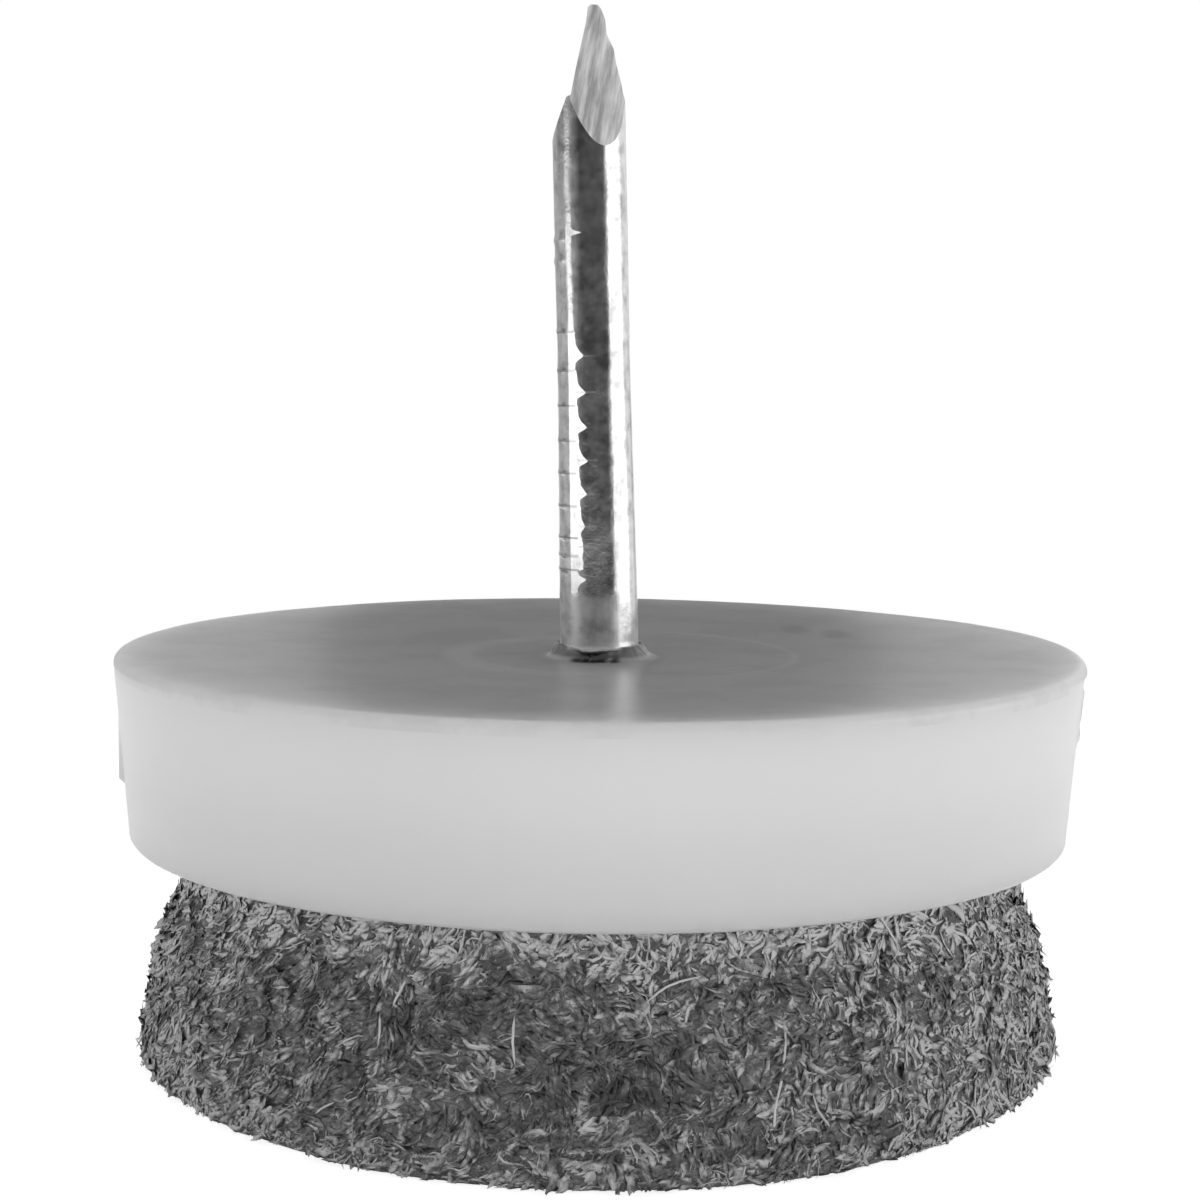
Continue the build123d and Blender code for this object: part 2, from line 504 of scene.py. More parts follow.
def wool_ground(settings):
    """The body of the felt under its loose wool: marled grey, matted and deep."""
    material, tree, shader = new_material("wool_ground")
    warp = cloud(tree, object_point(tree), 700, detail=2)
    strands = cloud(tree, object_point(tree, (1, 1, 1.6)), 2600, detail=5, roughness=0.7, distortion=1.6)
    clumps = cloud(tree, object_point(tree), 900, roughness=0.6)
    tone = total(tree, product(tree, strands, 0.65), product(tree, clumps, 0.35))
    low, high = settings.wool_dark, settings.wool_light
    middle = (low * high) ** 0.5
    colour = ramp(tree, tone, [(0.36, low * 0.7), (0.5, middle * 0.8), (0.64, high * 0.8)])
    joined(tree, shader, {"Base Color": colour, "Roughness": 0.95})
    joined(tree, shader, {"Specular IOR Level": 0.15, "Sheen Weight": 0.15})
    relief(tree, shader, warp, 0.05, under=relief(tree, shader, strands, 0.12))
    return material


def wool_fibre(settings):
    """Loose wool: each fibre has a tone of its own with painted light in it, kept with its mesh, and the
    felt's marl runs over it.
    """
    material, tree, shader = new_material("wool_fibre")
    tone_and_painted_light = tree.nodes.new("ShaderNodeAttribute")
    tone_and_painted_light.attribute_type = "GEOMETRY"
    tone_and_painted_light.attribute_name = "tone_and_painted_light"
    low, high = settings.wool_dark, settings.wool_light
    middle = (low * high) ** 0.5
    strands = cloud(tree, object_point(tree, (1, 1, 1.4)), 1050, detail=5, roughness=0.66, distortion=1.8)
    marl = product(tree, math_of(tree, "SUBTRACT", strands, 0.51), 3.4)
    # The kept tone holds painted light: paler under the rim, on both sides and at the foot
    tone = total(tree, tone_and_painted_light.outputs["Fac"], marl)
    colour = ramp(tree, tone, [(0.0, low), (0.5, middle), (0.85, high), (1.0, high * 1.25)])
    joined(tree, shader, {"Base Color": colour, "Roughness": 0.85})
    joined(tree, shader, {"Specular IOR Level": 0.2, "Sheen Weight": 0.1})
    # Matted fibres catch the light as one soft surface, which faces away from the upright axis
    outwards = object_point(tree, (1, 1, 0))
    unit = placed(tree, "ShaderNodeVectorMath", {"Vector": outwards}, operation="NORMALIZE")
    own = tree.nodes.new("ShaderNodeNewGeometry").outputs["Normal"]
    swayed(tree, shader, own, unit, 0.7)
    return material


def measure(name, description, default, **limits):
    """A number that the panel shows."""
    return bpy.props.FloatProperty(name=name, description=description, default=default, **limits)


def fraction(name, description, default):
    """A number from 0 to 1 that the panel shows."""
    return measure(name, description, default, min=0, max=1)


class GlideFinish(bpy.types.PropertyGroup):
    """Colours and polish of the glide's materials, and how far the base has sunk."""

    steel_grey: fraction("Steel grey", "Brightness of the plated steel", 0.62)
    plastic_grey: fraction("Plastic grey", "Brightness of the moulded plastic", 0.78)
    plastic_gloss: fraction("Plastic gloss", "How strongly the plastic mirrors", 0.5)
    plastic_depth: fraction("Plastic depth", "Share of light that spreads inside", 1.0)
    sink: measure("Sink", "How far the middle of the top face has sunk, in mm", 0.24)
    wool_dark: fraction("Dark wool", "Brightness of the darkest fibres", 0.08)
    wool_light: fraction("Light wool", "Brightness of the light fibres", 0.46)


class GlideNail(bpy.types.PropertyGroup):
    """Sizes of the nail."""

    head_radius: measure("Head radius", "Radius of the hidden head, in mm", 3.2)
    head_thickness: measure("Head thickness", "Thickness of the head, in mm", 0.9)
    head_recess: measure("Head recess", "How far the head lies above the web's underside, in mm", 0.15)
    root_radius: measure("Root radius", "Radius where the shank meets the head, in mm", 1.4)
    swell: measure("Swell", "How much thicker the gripped part is, in mm", 0.09)
    swell_reach: measure("Swell reach", "Height over which the swell dies away, in mm", 9.5)
    mark_depth: measure("Mark depth", "Depth of a die dent, in mm", 0.01)
    mark_bearing: measure("Mark bearing", "Where the die gripped, in degrees from +X", 194)


class GlideFelt(bpy.types.PropertyGroup):
    """Sizes of the felt pad."""

    neck_radius: measure("Neck radius", "Radius where the base squeezes the felt, in mm", 12.3)
    nap: measure("Nap", "How far the loose wool stands off the body, in mm", 0.28)
    off_centre: measure("Off centre", "How far the pad bulges to one side, in mm", 0.06)
    squeeze: measure("Squeeze", "How far the front of the foot is squeezed out, in mm", 0.3)
    lump: measure("Lumps", "Height of the matted lumps, in mm", 0.16)
    segments: bpy.props.IntProperty(name="Segments", description="Steps round the pad", default=640)


class GlideWool(bpy.types.PropertyGroup):
    """The loose wool on the pad."""

    hair_radius: measure("Hair radius", "Radius of a stray hair, in mm", 0.032)
    hair_lift: measure("Hair lift", "How far a stray hair lies off the felt's body, in mm", 0.16)
    fibres: bpy.props.IntProperty(name="Fibres", description="Fibres in a whole layer", default=4700)
    thickness: measure("Thickness", "Radius of a fibre, in mm", 0.04)
    length: measure("Length", "Length of a fibre, in mm", 0.66)


def nail_frame():
    """Turns a point counted along the leaning nail, from the top face, into the glide's frame."""
    upright = Vector((0, 0, 1))
    lean = upright.rotation_difference(NAIL_AXIS).to_matrix().to_4x4()
    return Matrix.Translation((0, 0, SEAT_Z * MM)) @ lean


# Where the gripping die's ridges stand, in mm above the top face
GRIP_RIDGES = (2.4, 2.81, 3.33, 4.24, 5.2, 6.13, 7.13, 8.14, 9.25)

# The dents between them: lowest and highest place, how far round to the front the flat in each goes at
# its ends and at its point, in degrees, and where up the dent the point is
GRIP_DENTS = (
    (2.4, 2.81, 12, 13, 0.5),
    (2.81, 3.33, 12, 13, 0.5),
    (3.33, 4.24, 10, 16, 0.38),
    (4.24, 5.2, 9, 20, 0.38),
    (5.2, 6.13, 8, 22, 0.38),
    (6.13, 7.13, 7, 22, 0.38),
    (7.13, 8.14, 6, 21, 0.38),
    (8.14, 9.25, 4, 18, 0.38),
    (1.72, 2.4, 3, 16, 0.62),
    (11.86, 12.24, 0, 19, 0.5),
)


def pressed_in(bearing, height):
    """How far inside the die's flats a place on the shank lies, in degrees; less than 0 outside them."""
    limit = FLATS_START
    for low, high, ends, point, peak in GRIP_DENTS:
        if low < height < high:
            share = (height - low) / (high - low)
            if share < peak:
                reach = smoothstep(0.45 * peak, peak, share)
            else:
                reach = ((1 - share) / (1 - peak)) ** 3
            limit = FLATS_MIDDLE + ends + (point - ends) * reach
    limit += 1.5 * noise.noise(Vector((height * 7, 0.5, 2.5)))
    return min(bearing - FLATS_START, limit - bearing)


# The cuts that shear the front and back of the point: where each faces, in degrees, how far from the
# axis it passes the tip, in mm, and how steeply it leaves the axis, in degrees
POINT_CUTS = ((-64.4, -0.354, 18.8), (115.6, 0.42, 9.0))

# The shears on the left and right of the point, seen from the front, as places that are so far out
# from the axis and so far below the tip, in mm. The left one has a ledge.
POINT_SHEARS = (
    (
        -1,
        ((-0.15, 0), (-0.04, 0.1), (0.02, 0.55), (0.15, 1.1), (0.33, 1.9), (0.49, 2.7), (0.617, 2.75))
        + ((0.8, 3.2), (1.0, 3.72), (1.12, 4.15)),
    ),
    (
        1,
        ((0.3, 0), (0.42, 0.14), (0.53, 0.45), (0.56, 0.88), (0.76, 1.32), (0.82, 1.75), (0.95, 2.3))
        + ((1.0, 2.62), (1.12, 3.1)),
    ),
)


def shear_block(side, places):
    """A closed block that covers what a shear takes off one side of the point."""
    outline = [(side * out, NAIL_REACH - drop) for out, drop in places]
    outline += [(side * 2.5, NAIL_REACH - places[-1][1]), (side * 2.5, NAIL_REACH + 2)]
    outline += [(side * places[0][0], NAIL_REACH + 2)]
    if side > 0:
        outline.reverse()
    count = len(outline)
    vertices = [(x * MM, y * MM, z * MM) for y in (-3, 3) for x, z in outline]
    faces = [tuple(range(count - 1, -1, -1)), tuple(range(count, 2 * count))]
    faces += [(i, (i + 1) % count, (i + 1) % count + count, i + count) for i in range(count)]
    mesh = bpy.data.meshes.new("shear")
    mesh.from_pydata(vertices, [], faces)
    for face in mesh.polygons:
        face.material_index = 1
    return mesh


def carved(mesh, cutter):
    """Takes one closed mesh out of another and returns what is left."""
    piece = bpy.data.objects.new("carved", mesh)
    tool = bpy.data.objects.new("tool", cutter)
    for thing in (piece, tool):
        while len(thing.data.materials) < 2:
            thing.data.materials.append(None)
        bpy.context.scene.collection.objects.link(thing)
    modifier = piece.modifiers.new("carve", "BOOLEAN")
    modifier.operation = "DIFFERENCE"
    modifier.solver = "EXACT"
    modifier.material_mode = "INDEX"
    modifier.object = tool
    graph = bpy.context.evaluated_depsgraph_get()
    left = bpy.data.meshes.new_from_object(piece.evaluated_get(graph))
    bpy.data.objects.remove(piece)
    bpy.data.objects.remove(tool)
    return left


class GLIDE_OT_nail(bpy.types.Operator):
    """Builds the plated nail with its die marks and sheared point"""

    bl_idname = "glide.nail"
    bl_label = "Nail"

    def execute(self, context):
        sizes = context.scene.glide_nail
        finish = context.scene.glide_finish
        head_bottom = WEB_Z + sizes.head_recess - SEAT_Z
        head_top = head_bottom + sizes.head_thickness

        outline = [(0, head_bottom)]
        outline += straight_through([(1.0, head_bottom), (sizes.head_radius - 0.2, head_bottom)], 0.8)
        outline += [(sizes.head_radius, head_bottom + 0.2), (sizes.head_radius, head_top)]
        outline += [(sizes.root_radius, head_top)]
        outline += straight_through([(SHANK_RADIUS, LIP_HEIGHT * 0.5), (SHANK_RADIUS, 2.0)], 0.12)
        outline += straight_through([(SHANK_RADIUS, 2.03), (SHANK_RADIUS, 12.6)], 0.035)
        outline += straight_through([(SHANK_RADIUS, 12.7), (SHANK_RADIUS, NAIL_REACH)], 0.12)
        outline += [(0, NAIL_REACH)]

        def shift(radius, height, bearing):
            if height < LIP_HEIGHT * 0.4 or radius < SHANK_RADIUS * 0.9:
                return 0.0
            swell = sizes.swell * (1 - smoothstep(0, sizes.swell_reach, height)) - 0.5 * sizes.swell
            turn = turn_from(bearing, sizes.mark_bearing)
            level = height + 0.0004 * turn
            dent = 0.0
            for lower, upper, *_ in GRIP_DENTS:
                length = upper - lower
                if lower < level < upper:
                    dent = min(1.0, length / 0.9) * math.sin(math.pi * (level - lower) / length)
            edge = abs(turn) + 4 * noise.noise(Vector((bearing / 40, height * 2, 7)))
            side = 1 - smoothstep(24, 36, edge)
            corner = 1 - smoothstep(20, 30, edge)
            ridge = max(bump_at(level - place, 0.06) for place in GRIP_RIDGES)
            rough = 0.006 * noise.noise(Vector((bearing / 18, height * 1.1, 0.4)))
            rough += 0.0006 * noise.noise(Vector((bearing / 6, height * 5.0, 1.4)))
            burr = 0.03 * (bump_at(height - 11.26, 0.12) + bump_at(height - 11.87, 0.12)) * corner
            push = 0.014 * ridge * corner - sizes.mark_depth * dent * side
            return swell + push + rough + burr

        mesh = turned_mesh("nail_shank", outline, 96, False, shift)
        shell = bmesh.new()
        shell.from_mesh(mesh)
        for bearing, offset, slope in POINT_CUTS:
            turn, tilt = math.radians(bearing), math.radians(slope)
            out = Vector((math.cos(turn), math.sin(turn), 0))
            cut = bmesh.ops.bisect_plane(
                shell,
                geom=shell.verts[:] + shell.edges[:] + shell.faces[:],
                dist=1e-8,
                plane_co=out * offset * MM + Vector((0, 0, NAIL_REACH * MM)),
                plane_no=out * math.cos(tilt) + Vector((0, 0, math.sin(tilt))),
                clear_outer=True,
            )
            rim = [item for item in cut["geom_cut"] if isinstance(item, bmesh.types.BMEdge)]
            for face in bmesh.ops.contextual_create(shell, geom=rim)["faces"]:
                face.material_index = 1
        shell.to_mesh(mesh)
        shell.free()
        for side, places in POINT_SHEARS:
            mesh = carved(mesh, shear_block(side, places))
        shell = bmesh.new()
        shell.from_mesh(mesh)
        for face in shell.faces:
            face.smooth = face.material_index == 0
        for edge in shell.edges:
            kinds = {face.material_index for face in edge.link_faces}
            edge.smooth = len(kinds) == 1 and 1 not in kinds and edge.calc_face_angle(0.0) < math.radians(50)
        bmesh.ops.triangulate(shell, faces=[f for f in shell.faces if len(f.verts) > 4])
        shell.to_mesh(mesh)
        shell.free()
        pressed = mesh.attributes.new("pressed", "FLOAT", "POINT")
        for vertex, item in zip(mesh.vertices, pressed.data):
            bearing = math.degrees(math.atan2(vertex.co.y, vertex.co.x)) % 360
            item.value = pressed_in(bearing, vertex.co.z / MM)
        mesh.transform(nail_frame())
        mesh.materials[0] = plated_steel(finish)
        mesh.materials[1] = sheared_steel(finish)
        mesh.name = "nail_plated"
        nail = linked(mesh, "nail_plated")
        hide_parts("nail")
        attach(nail, BODY)
        return {"FINISHED"}


class GLIDE_OT_base(bpy.types.Operator):
    """Builds the moulded plastic base with its lip, mould ring, gate scar and flash"""

    bl_idname = "glide.base"
    bl_label = "Base"

    def execute(self, context):
        finish = context.scene.glide_finish
        head = context.scene.glide_nail
        slope = math.tan(math.radians(BASE_DRAFT))
        edge = BASE_EDGE
        corner = BASE_RADIUS + edge * (slope + 1 / math.cos(math.radians(BASE_DRAFT)) - 1)
        rim = corner - (SEAT_Z - RIM_Z) * slope
        mouth = rim - RIM_WALL
        pocket = mouth - (WEB_Z - RIM_Z) * math.tan(math.radians(POCKET_DRAFT))
        edge_centre = (BASE_RADIUS - edge, SEAT_Z - edge)
        bore_top, bore_root, counterbore = 1.16, 1.46, 3.5
        head_room = 0.04
        ceiling = WEB_Z + head.head_recess + head.head_thickness + head_room
        turn = 0.15

        outline = straight_through(
            [(counterbore, ceiling), (counterbore, WEB_Z), (pocket, WEB_Z), (mouth, RIM_Z + turn)], 1.2
        )
        outline += arc_points((mouth + turn, RIM_Z + turn), turn, 180, 270, 3)
        outline += arc_points((rim - turn + 0.01, RIM_Z + turn), turn, 270, 355, 4)
        outline += straight_through(
            [(rim + 0.02, RIM_Z + 2 * turn), (corner - (edge + 0.1) * slope, SEAT_Z - edge - 0.1)], 0.16
        )
        outline += arc_points(edge_centre, edge, -BASE_DRAFT, 90, 8)
        outline += straight_through([(BASE_RADIUS - edge - 0.1, SEAT_Z), (BASE_RADIUS - 1.6, SEAT_Z)], 0.2)
        outline += [(BASE_RADIUS - 2.0, SEAT_Z)]
        # The middle of the top face has sunk a little, with the mould's ring in it
        outer, inner = [11.6 - 0.4 * i for i in range(18)], [3.8 - 0.3 * i for i in range(7)]
        for reach in outer + [4.55, 4.4, 4.2, 4.05] + inner:
            ring = 0.012 if 4.1 < reach < 4.5 else 0.0
            outline.append((reach, SEAT_Z - finish.sink * (1 - smoothstep(1.6, 12.4, reach)) - ring))
        low, lip = SEAT_Z - finish.sink, SEAT_Z + 0.17
        outline += smooth_through([(1.75, low), (1.5, low + 0.06), (1.36, low + 0.2), (1.25, lip)], 0.06)
        outline += [(bore_top, lip - 0.01), (bore_top, low), (bore_root, ceiling)]

        def shift(radius, height, bearing):
            angle = math.radians(bearing)
            around = Vector((math.cos(angle) * radius, math.sin(angle) * radius, height))
            if radius < LIP_REACH and height > low + 0.005:
                ragged = noise.noise(around * 2.2) * 0.05 + noise.noise(around * 5.1) * 0.04
                pit = 0.13 * bump_at(turn_from(bearing, 264), 34)
                return (ragged - pit) * smoothstep(low, low + 0.15, height)
            push = 0.012 * noise.noise(around * 0.35) + 0.003 * noise.noise(around * 2.0)
            if radius > rim - 0.05:
                # The wall's top bulges a little on the right
                upper = smoothstep(SEAT_Z - 0.34, SEAT_Z - 0.2, height)
                push += 0.08 * bump_at(turn_from(bearing, 4), 34) * upper
                gate_turn = turn_from(bearing, GATE_BEARING) * math.radians(1) * radius
                gate = math.hypot(gate_turn / GATE_WIDTH, (height - (SEAT_Z - GATE_DROP)) / GATE_HEIGHT)
                push -= 0.2 * (1 - smoothstep(0.45, 1.0, gate))
                push += 0.07 * bump_at(gate - 1.15, 0.2)
                drop = SEAT_Z - FLASH_DROP - height
                if 0 < drop < FLASH_LENGTH:
                    flash_turn = abs(turn_from(bearing, FLASH_BEARING)) * math.radians(1) * radius
                    push += drop * slope * (1 - smoothstep(0.15, 0.35, flash_turn))
            return push

        mesh = turned_mesh("base_shell", outline, 400, True, shift)
        # The hole and the lip lean with the nail
        for vertex in mesh.vertices:
            if math.hypot(vertex.co.x, vertex.co.y) < LIP_REACH * MM:
                vertex.co.x -= NAIL_LEAN * (vertex.co.z - SEAT_Z * MM)
        base = shown(mesh, "base_moulded", white_plastic(finish), angle=50)
        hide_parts("plastic_base")
        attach(base, BODY)
        return {"FINISHED"}


class GLIDE_OT_glue(bpy.types.Operator):
    """Gives the film of glue its finish"""

    bl_idname = "glide.glue"
    bl_label = "Glue film"

    def execute(self, context):
        film = frame["nodes"]["adhesive_layer"]
        film.data.materials.clear()
        film.data.materials.append(glue_film())
        return {"FINISHED"}


def felt_outline(sizes):
    """The felt's half section, from the middle of its foot round its side to the middle of its top."""
    wide = FELT_RADIUS - sizes.nap
    side = smooth_through(
        [
            (wide - 0.12, 0.02),
            (wide + 0.06, 0.3),
            (wide + 0.05, 1.0),
            (wide - 0.2, 2.4),
            (wide - 0.62, 3.8),
            (wide - 1.1, 4.8),
            (wide - 1.28, 5.6),
            (wide - 1.25, RIM_Z - 0.1),
            (sizes.neck_radius, RIM_Z + 0.5),
        ],
        0.11,
    )
    foot = [(0, 0.02)] + straight_through([(1.0, 0.02), (wide - 0.4, 0.02)], 0.5)
    top = straight_through([(sizes.neck_radius, FELT_TOP - 0.02), (2.0, FELT_TOP - 0.02)], 2.5)
    return foot + side + top + [(0, FELT_TOP - 0.02)]


def press_on_floor(mesh):
    """Presses what would reach below the floor into a thin layer on it."""
    thin, fade = 0.03 * MM, 0.15 * MM
    for vertex in mesh.vertices:
        if vertex.co.z < thin:
            vertex.co.z = thin * math.exp((vertex.co.z - thin) / fade)


def felt_mesh(sizes, name):
    """The matted body of the felt."""

    def shift(radius, height, bearing):
        if height > RIM_Z + 0.1 or height < 0.03 and radius < FELT_RADIUS - 1.6:
            return 0.0
        angle = math.radians(bearing)
        around = Vector((math.cos(angle) * radius, math.sin(angle) * radius, height))
        ease = (1 - smoothstep(RIM_Z - 0.3, RIM_Z + 0.1, height)) * smoothstep(-0.2, 0.6, height)
        push = sizes.lump * (
            1.3 * noise.noise(around * 0.45)
            + 0.9 * noise.noise(around * 1.3)
            + 0.7 * noise.noise(around * 2.6)
            + 0.35 * noise.noise(around * 5.5)
        )
        front = turn_from(bearing, 270)
        crease_at = 46 - 5.5 * (RIM_Z - height)
        push -= 0.25 * bump_at(front - crease_at, 1.4) * smoothstep(2.6, 3.8, height)
        push += sizes.off_centre * math.cos(angle) * (1 - smoothstep(RIM_Z - 2.2, RIM_Z - 0.8, height))
        return push * ease

    mesh = turned_mesh(name, felt_outline(sizes), sizes.segments, False, shift)
    # The front of the foot is squeezed out a little
    for vertex in mesh.vertices:
        x, y, z = vertex.co / MM
        reach = math.hypot(x, y)
        if z < 1.8 and reach > 11:
            front = abs(turn_from(math.degrees(math.atan2(y, x)), 272))
            out = sizes.squeeze * (1 - smoothstep(20, 44, front)) * (1 - smoothstep(0.5, 1.8, z))
            vertex.co.x *= 1 + out / reach
            vertex.co.y *= 1 + out / reach
    press_on_floor(mesh)
    return mesh


class GLIDE_OT_felt(bpy.types.Operator):
    """Builds the matted body of the felt pad"""

    bl_idname = "glide.felt"
    bl_label = "Felt pad"

    def execute(self, context):
        mesh = felt_mesh(context.scene.glide_felt, "felt_body")
        felt = shown(mesh, "felt_body", wool_ground(context.scene.glide_finish))
        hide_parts("felt_pad")
        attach(felt, BODY)
        return {"FINISHED"}


def fibre_shape(tree, seed, thickness, length, curl):
    """One wisp's mesh along +X, bent in its own way, thick in the middle and flattened."""
    line = placed(tree, "GeometryNodeCurvePrimitiveLine", {"Start": (-0.5, 0, 0), "End": (0.5, 0, 0)})
    steps = placed(tree, "GeometryNodeResampleCurve", {"Curve": line, "Count": 6})
    wave = tree.nodes.new("ShaderNodeTexNoise")
    wave.noise_dimensions = "4D"
    place = tree.nodes.new("GeometryNodeInputPosition").outputs["Position"]
    joined(tree, wave, {"Vector": place, "W": 7.3 * seed, "Scale": 1.6, "Detail": 0.0})
    middle = {"Vector": wave.outputs["Color"], "Vector_001": (0.5, 0.5, 0.5)}
    centred = placed(tree, "ShaderNodeVectorMath", middle, operation="SUBTRACT")
    bend = placed(tree, "ShaderNodeVectorMath", {"Vector": centred, "Scale": curl}, operation="SCALE")
    moved = placed(tree, "GeometryNodeSetPosition", {"Geometry": steps, "Offset": bend})
    swell = tree.nodes.new("ShaderNodeFloatCurve")
    points = swell.mapping.curves[0].points
    points[0].location = (0.0, 0.12)
    points[1].location = (1.0, 0.08)
    points.new(0.45, 1.0)
    swell.mapping.update()
    joined(tree, swell, {"Value": tree.nodes.new("GeometryNodeSplineParameter").outputs["Factor"]})
    girth = swell.outputs["Value"]
    tapered = placed(tree, "GeometryNodeSetCurveRadius", {"Curve": moved, "Radius": girth})
    slim = math_of(tree, "DIVIDE", thickness, length)
    section = placed(tree, "GeometryNodeCurvePrimitiveCircle", {"Resolution": 3, "Radius": slim})
    sweep = {"Curve": tapered, "Profile Curve": section, "Scale": girth, "Fill Caps": True}
    tube = placed(tree, "GeometryNodeCurveToMesh", sweep)
    size = {"X": length, "Y": length, "Z": product(tree, length, 0.13)}
    flattened = placed(tree, "ShaderNodeCombineXYZ", size)
    return placed(tree, "GeometryNodeTransform", {"Geometry": tube, "Scale": flattened})


# What the wool's tree is given: name, whether it is a whole number, and default
WOOL_INPUTS = (
    ("Count", True, 1000),
    ("Thickness", False, 0.04 * MM),
    ("Length", False, 0.75 * MM),
    ("Curl", False, 1.0),
    ("Tilt", False, 0.2),
    ("Lift", False, 0.02 * MM),
    ("Shade low", False, 0.0),
    ("Shade high", False, 1.0),
    ("Lowest", False, 0.0),
    ("Highest", False, 6 * MM),
    ("Seed", True, 1),
)


def wool_tree(material):
    """Geometry nodes that scatter wavy fibres over a felt body and keep with each a tone that holds painted
    light.
    """
    tree = bpy.data.node_groups.new("loose_wool", "GeometryNodeTree")
    tree.interface.new_socket(name="Geometry", in_out="INPUT", socket_type="NodeSocketGeometry")
    for name, whole, default in WOOL_INPUTS:
        kind = "NodeSocketInt" if whole else "NodeSocketFloat"
        tree.interface.new_socket(name=name, in_out="INPUT", socket_type=kind).default_value = default
    tree.interface.new_socket(name="Geometry", in_out="OUTPUT", socket_type="NodeSocketGeometry")
    given = tree.nodes.new("NodeGroupInput").outputs

    def random_value(low, high, offset):
        seed = math_of(tree, "ADD", given["Seed"], offset)
        inputs = {"Min_001": low, "Max_001": high, "Seed": seed}
        return placed(tree, "FunctionNodeRandomValue", inputs, data_type="FLOAT")

    def ranged(value, start, end, low, high):
        """Runs from low to high while the value runs from start to end, in mm."""
        inputs = {"Value": value, "From Min": start * MM, "From Max": end * MM, "To Min": low, "To Max": high}
        return placed(tree, "ShaderNodeMapRange", inputs)

    # Keep only the faces between the lowest and highest heights
    place = tree.nodes.new("GeometryNodeInputPosition").outputs["Position"]
    apart = tree.nodes.new("ShaderNodeSeparateXYZ")
    tree.links.new(place, apart.inputs["Vector"])
    x, height = apart.outputs["X"], apart.outputs["Z"]
    above = math_of(tree, "GREATER_THAN", height, given["Lowest"])
    band = product(tree, above, math_of(tree, "LESS_THAN", height, given["Highest"]))
    inputs = {"Geometry": given["Geometry"], "Selection": band}
    side = placed(tree, "GeometryNodeSeparateGeometry", inputs, domain="FACE")

    # Spread the asked number of points evenly by area
    areas = tree.nodes.new("GeometryNodeAttributeStatistic")
    areas.domain = "FACE"
    area = tree.nodes.new("GeometryNodeInputMeshFaceArea").outputs["Area"]
    joined(tree, areas, {"Geometry": side, "Attribute": area})
    scatter = tree.nodes.new("GeometryNodeDistributePointsOnFaces")
    density = math_of(tree, "DIVIDE", given["Count"], areas.outputs["Sum"])
    joined(tree, scatter, {"Mesh": side, "Density": density, "Seed": given["Seed"]})
    normal = scatter.outputs["Normal"]

    # Lay each wisp on the surface: combed upwards to the right on the left side, in swirls elsewhere
    inputs = {"Vector": (0, 0, 1), "Vector_001": normal}
    sideways = placed(tree, "ShaderNodeVectorMath", inputs, operation="CROSS_PRODUCT")
    inputs = {"Primary Axis": normal, "Secondary Axis": sideways}
    stand = placed(tree, "FunctionNodeAxesToRotation", inputs, primary_axis="Z", secondary_axis="X")
    swirl = placed(tree, "ShaderNodeTexNoise", {"Vector": place, "Scale": 750, "Detail": 1.0})
    turned = product(tree, math_of(tree, "SUBTRACT", swirl, 0.5), ranged(x, -8, 2, 1.6, 14.0))
    spin = total(tree, turned, 0.65, random_value(-0.45, 0.45, 11))
    tip = product(tree, random_value(-1.0, 1.0, 12), given["Tilt"])
    angles = placed(tree, "ShaderNodeCombineXYZ", {"Y": tip, "Z": spin})
    turn = placed(tree, "FunctionNodeEulerToRotation", {"Euler": angles})
    inputs = {"Rotation": stand, "Rotate By": turn}
    rotation = placed(tree, "FunctionNodeRotateRotation", inputs, rotation_space="LOCAL")

    # Ten wavy shapes to pick from
    shapes = tree.nodes.new("GeometryNodeGeometryToInstance")
    for seed in range(10):
        shape = fibre_shape(tree, seed, given["Thickness"], given["Length"], given["Curl"])
        tree.links.new(shape, shapes.inputs["Geometry"])
    inputs = {"Vector": normal, "Scale": given["Lift"]}
    lift = placed(tree, "ShaderNodeVectorMath", inputs, operation="SCALE")
    inputs = {"Geometry": scatter.outputs["Points"], "Offset": lift}
    raised = placed(tree, "GeometryNodeSetPosition", inputs)
    inputs = {"Points": raised, "Instance": shapes.outputs["Instances"], "Pick Instance": True}
    inputs.update({"Rotation": rotation, "Scale": random_value(0.6, 1.3, 13)})
    planted = placed(tree, "GeometryNodeInstanceOnPoints", inputs)

    # Tone: a share of chance and patches of like fibres, plus painted light that makes the wool paler under
    # the rim, on the right side, on the left side and at the foot
    inputs = {"Vector": place, "Scale": 800, "Detail": 4.0, "Roughness": 0.6}
    patch = placed(tree, "ShaderNodeTexNoise", inputs)
    tone_and_painted_light = total(
        tree,
        random_value(given["Shade low"], given["Shade high"], 14),
        product(tree, math_of(tree, "SUBTRACT", patch, 0.52), 2.0),
        # Painted light: paler under the rim, on the right and left sides and at the foot
        ranged(height, RIM_Z - 1.8, RIM_Z - 0.8, 0, 0.62),
        ranged(x, 4, 13, 0, 0.62),
        ranged(x, -6, -13, 0, 0.45),
        ranged(height, 2.2, 0.6, 0, 0.2),
    )
    inputs = {"Geometry": planted, "Name": "tone_and_painted_light", "Value": tone_and_painted_light}
    kept = placed(tree, "GeometryNodeStoreNamedAttribute", inputs, data_type="FLOAT", domain="INSTANCE")
    real = placed(tree, "GeometryNodeRealizeInstances", {"Geometry": kept})
    painted = placed(tree, "GeometryNodeSetMaterial", {"Geometry": real, "Material": material})
    tree.links.new(painted, tree.nodes.new("NodeGroupOutput").inputs["Geometry"])
    return tree


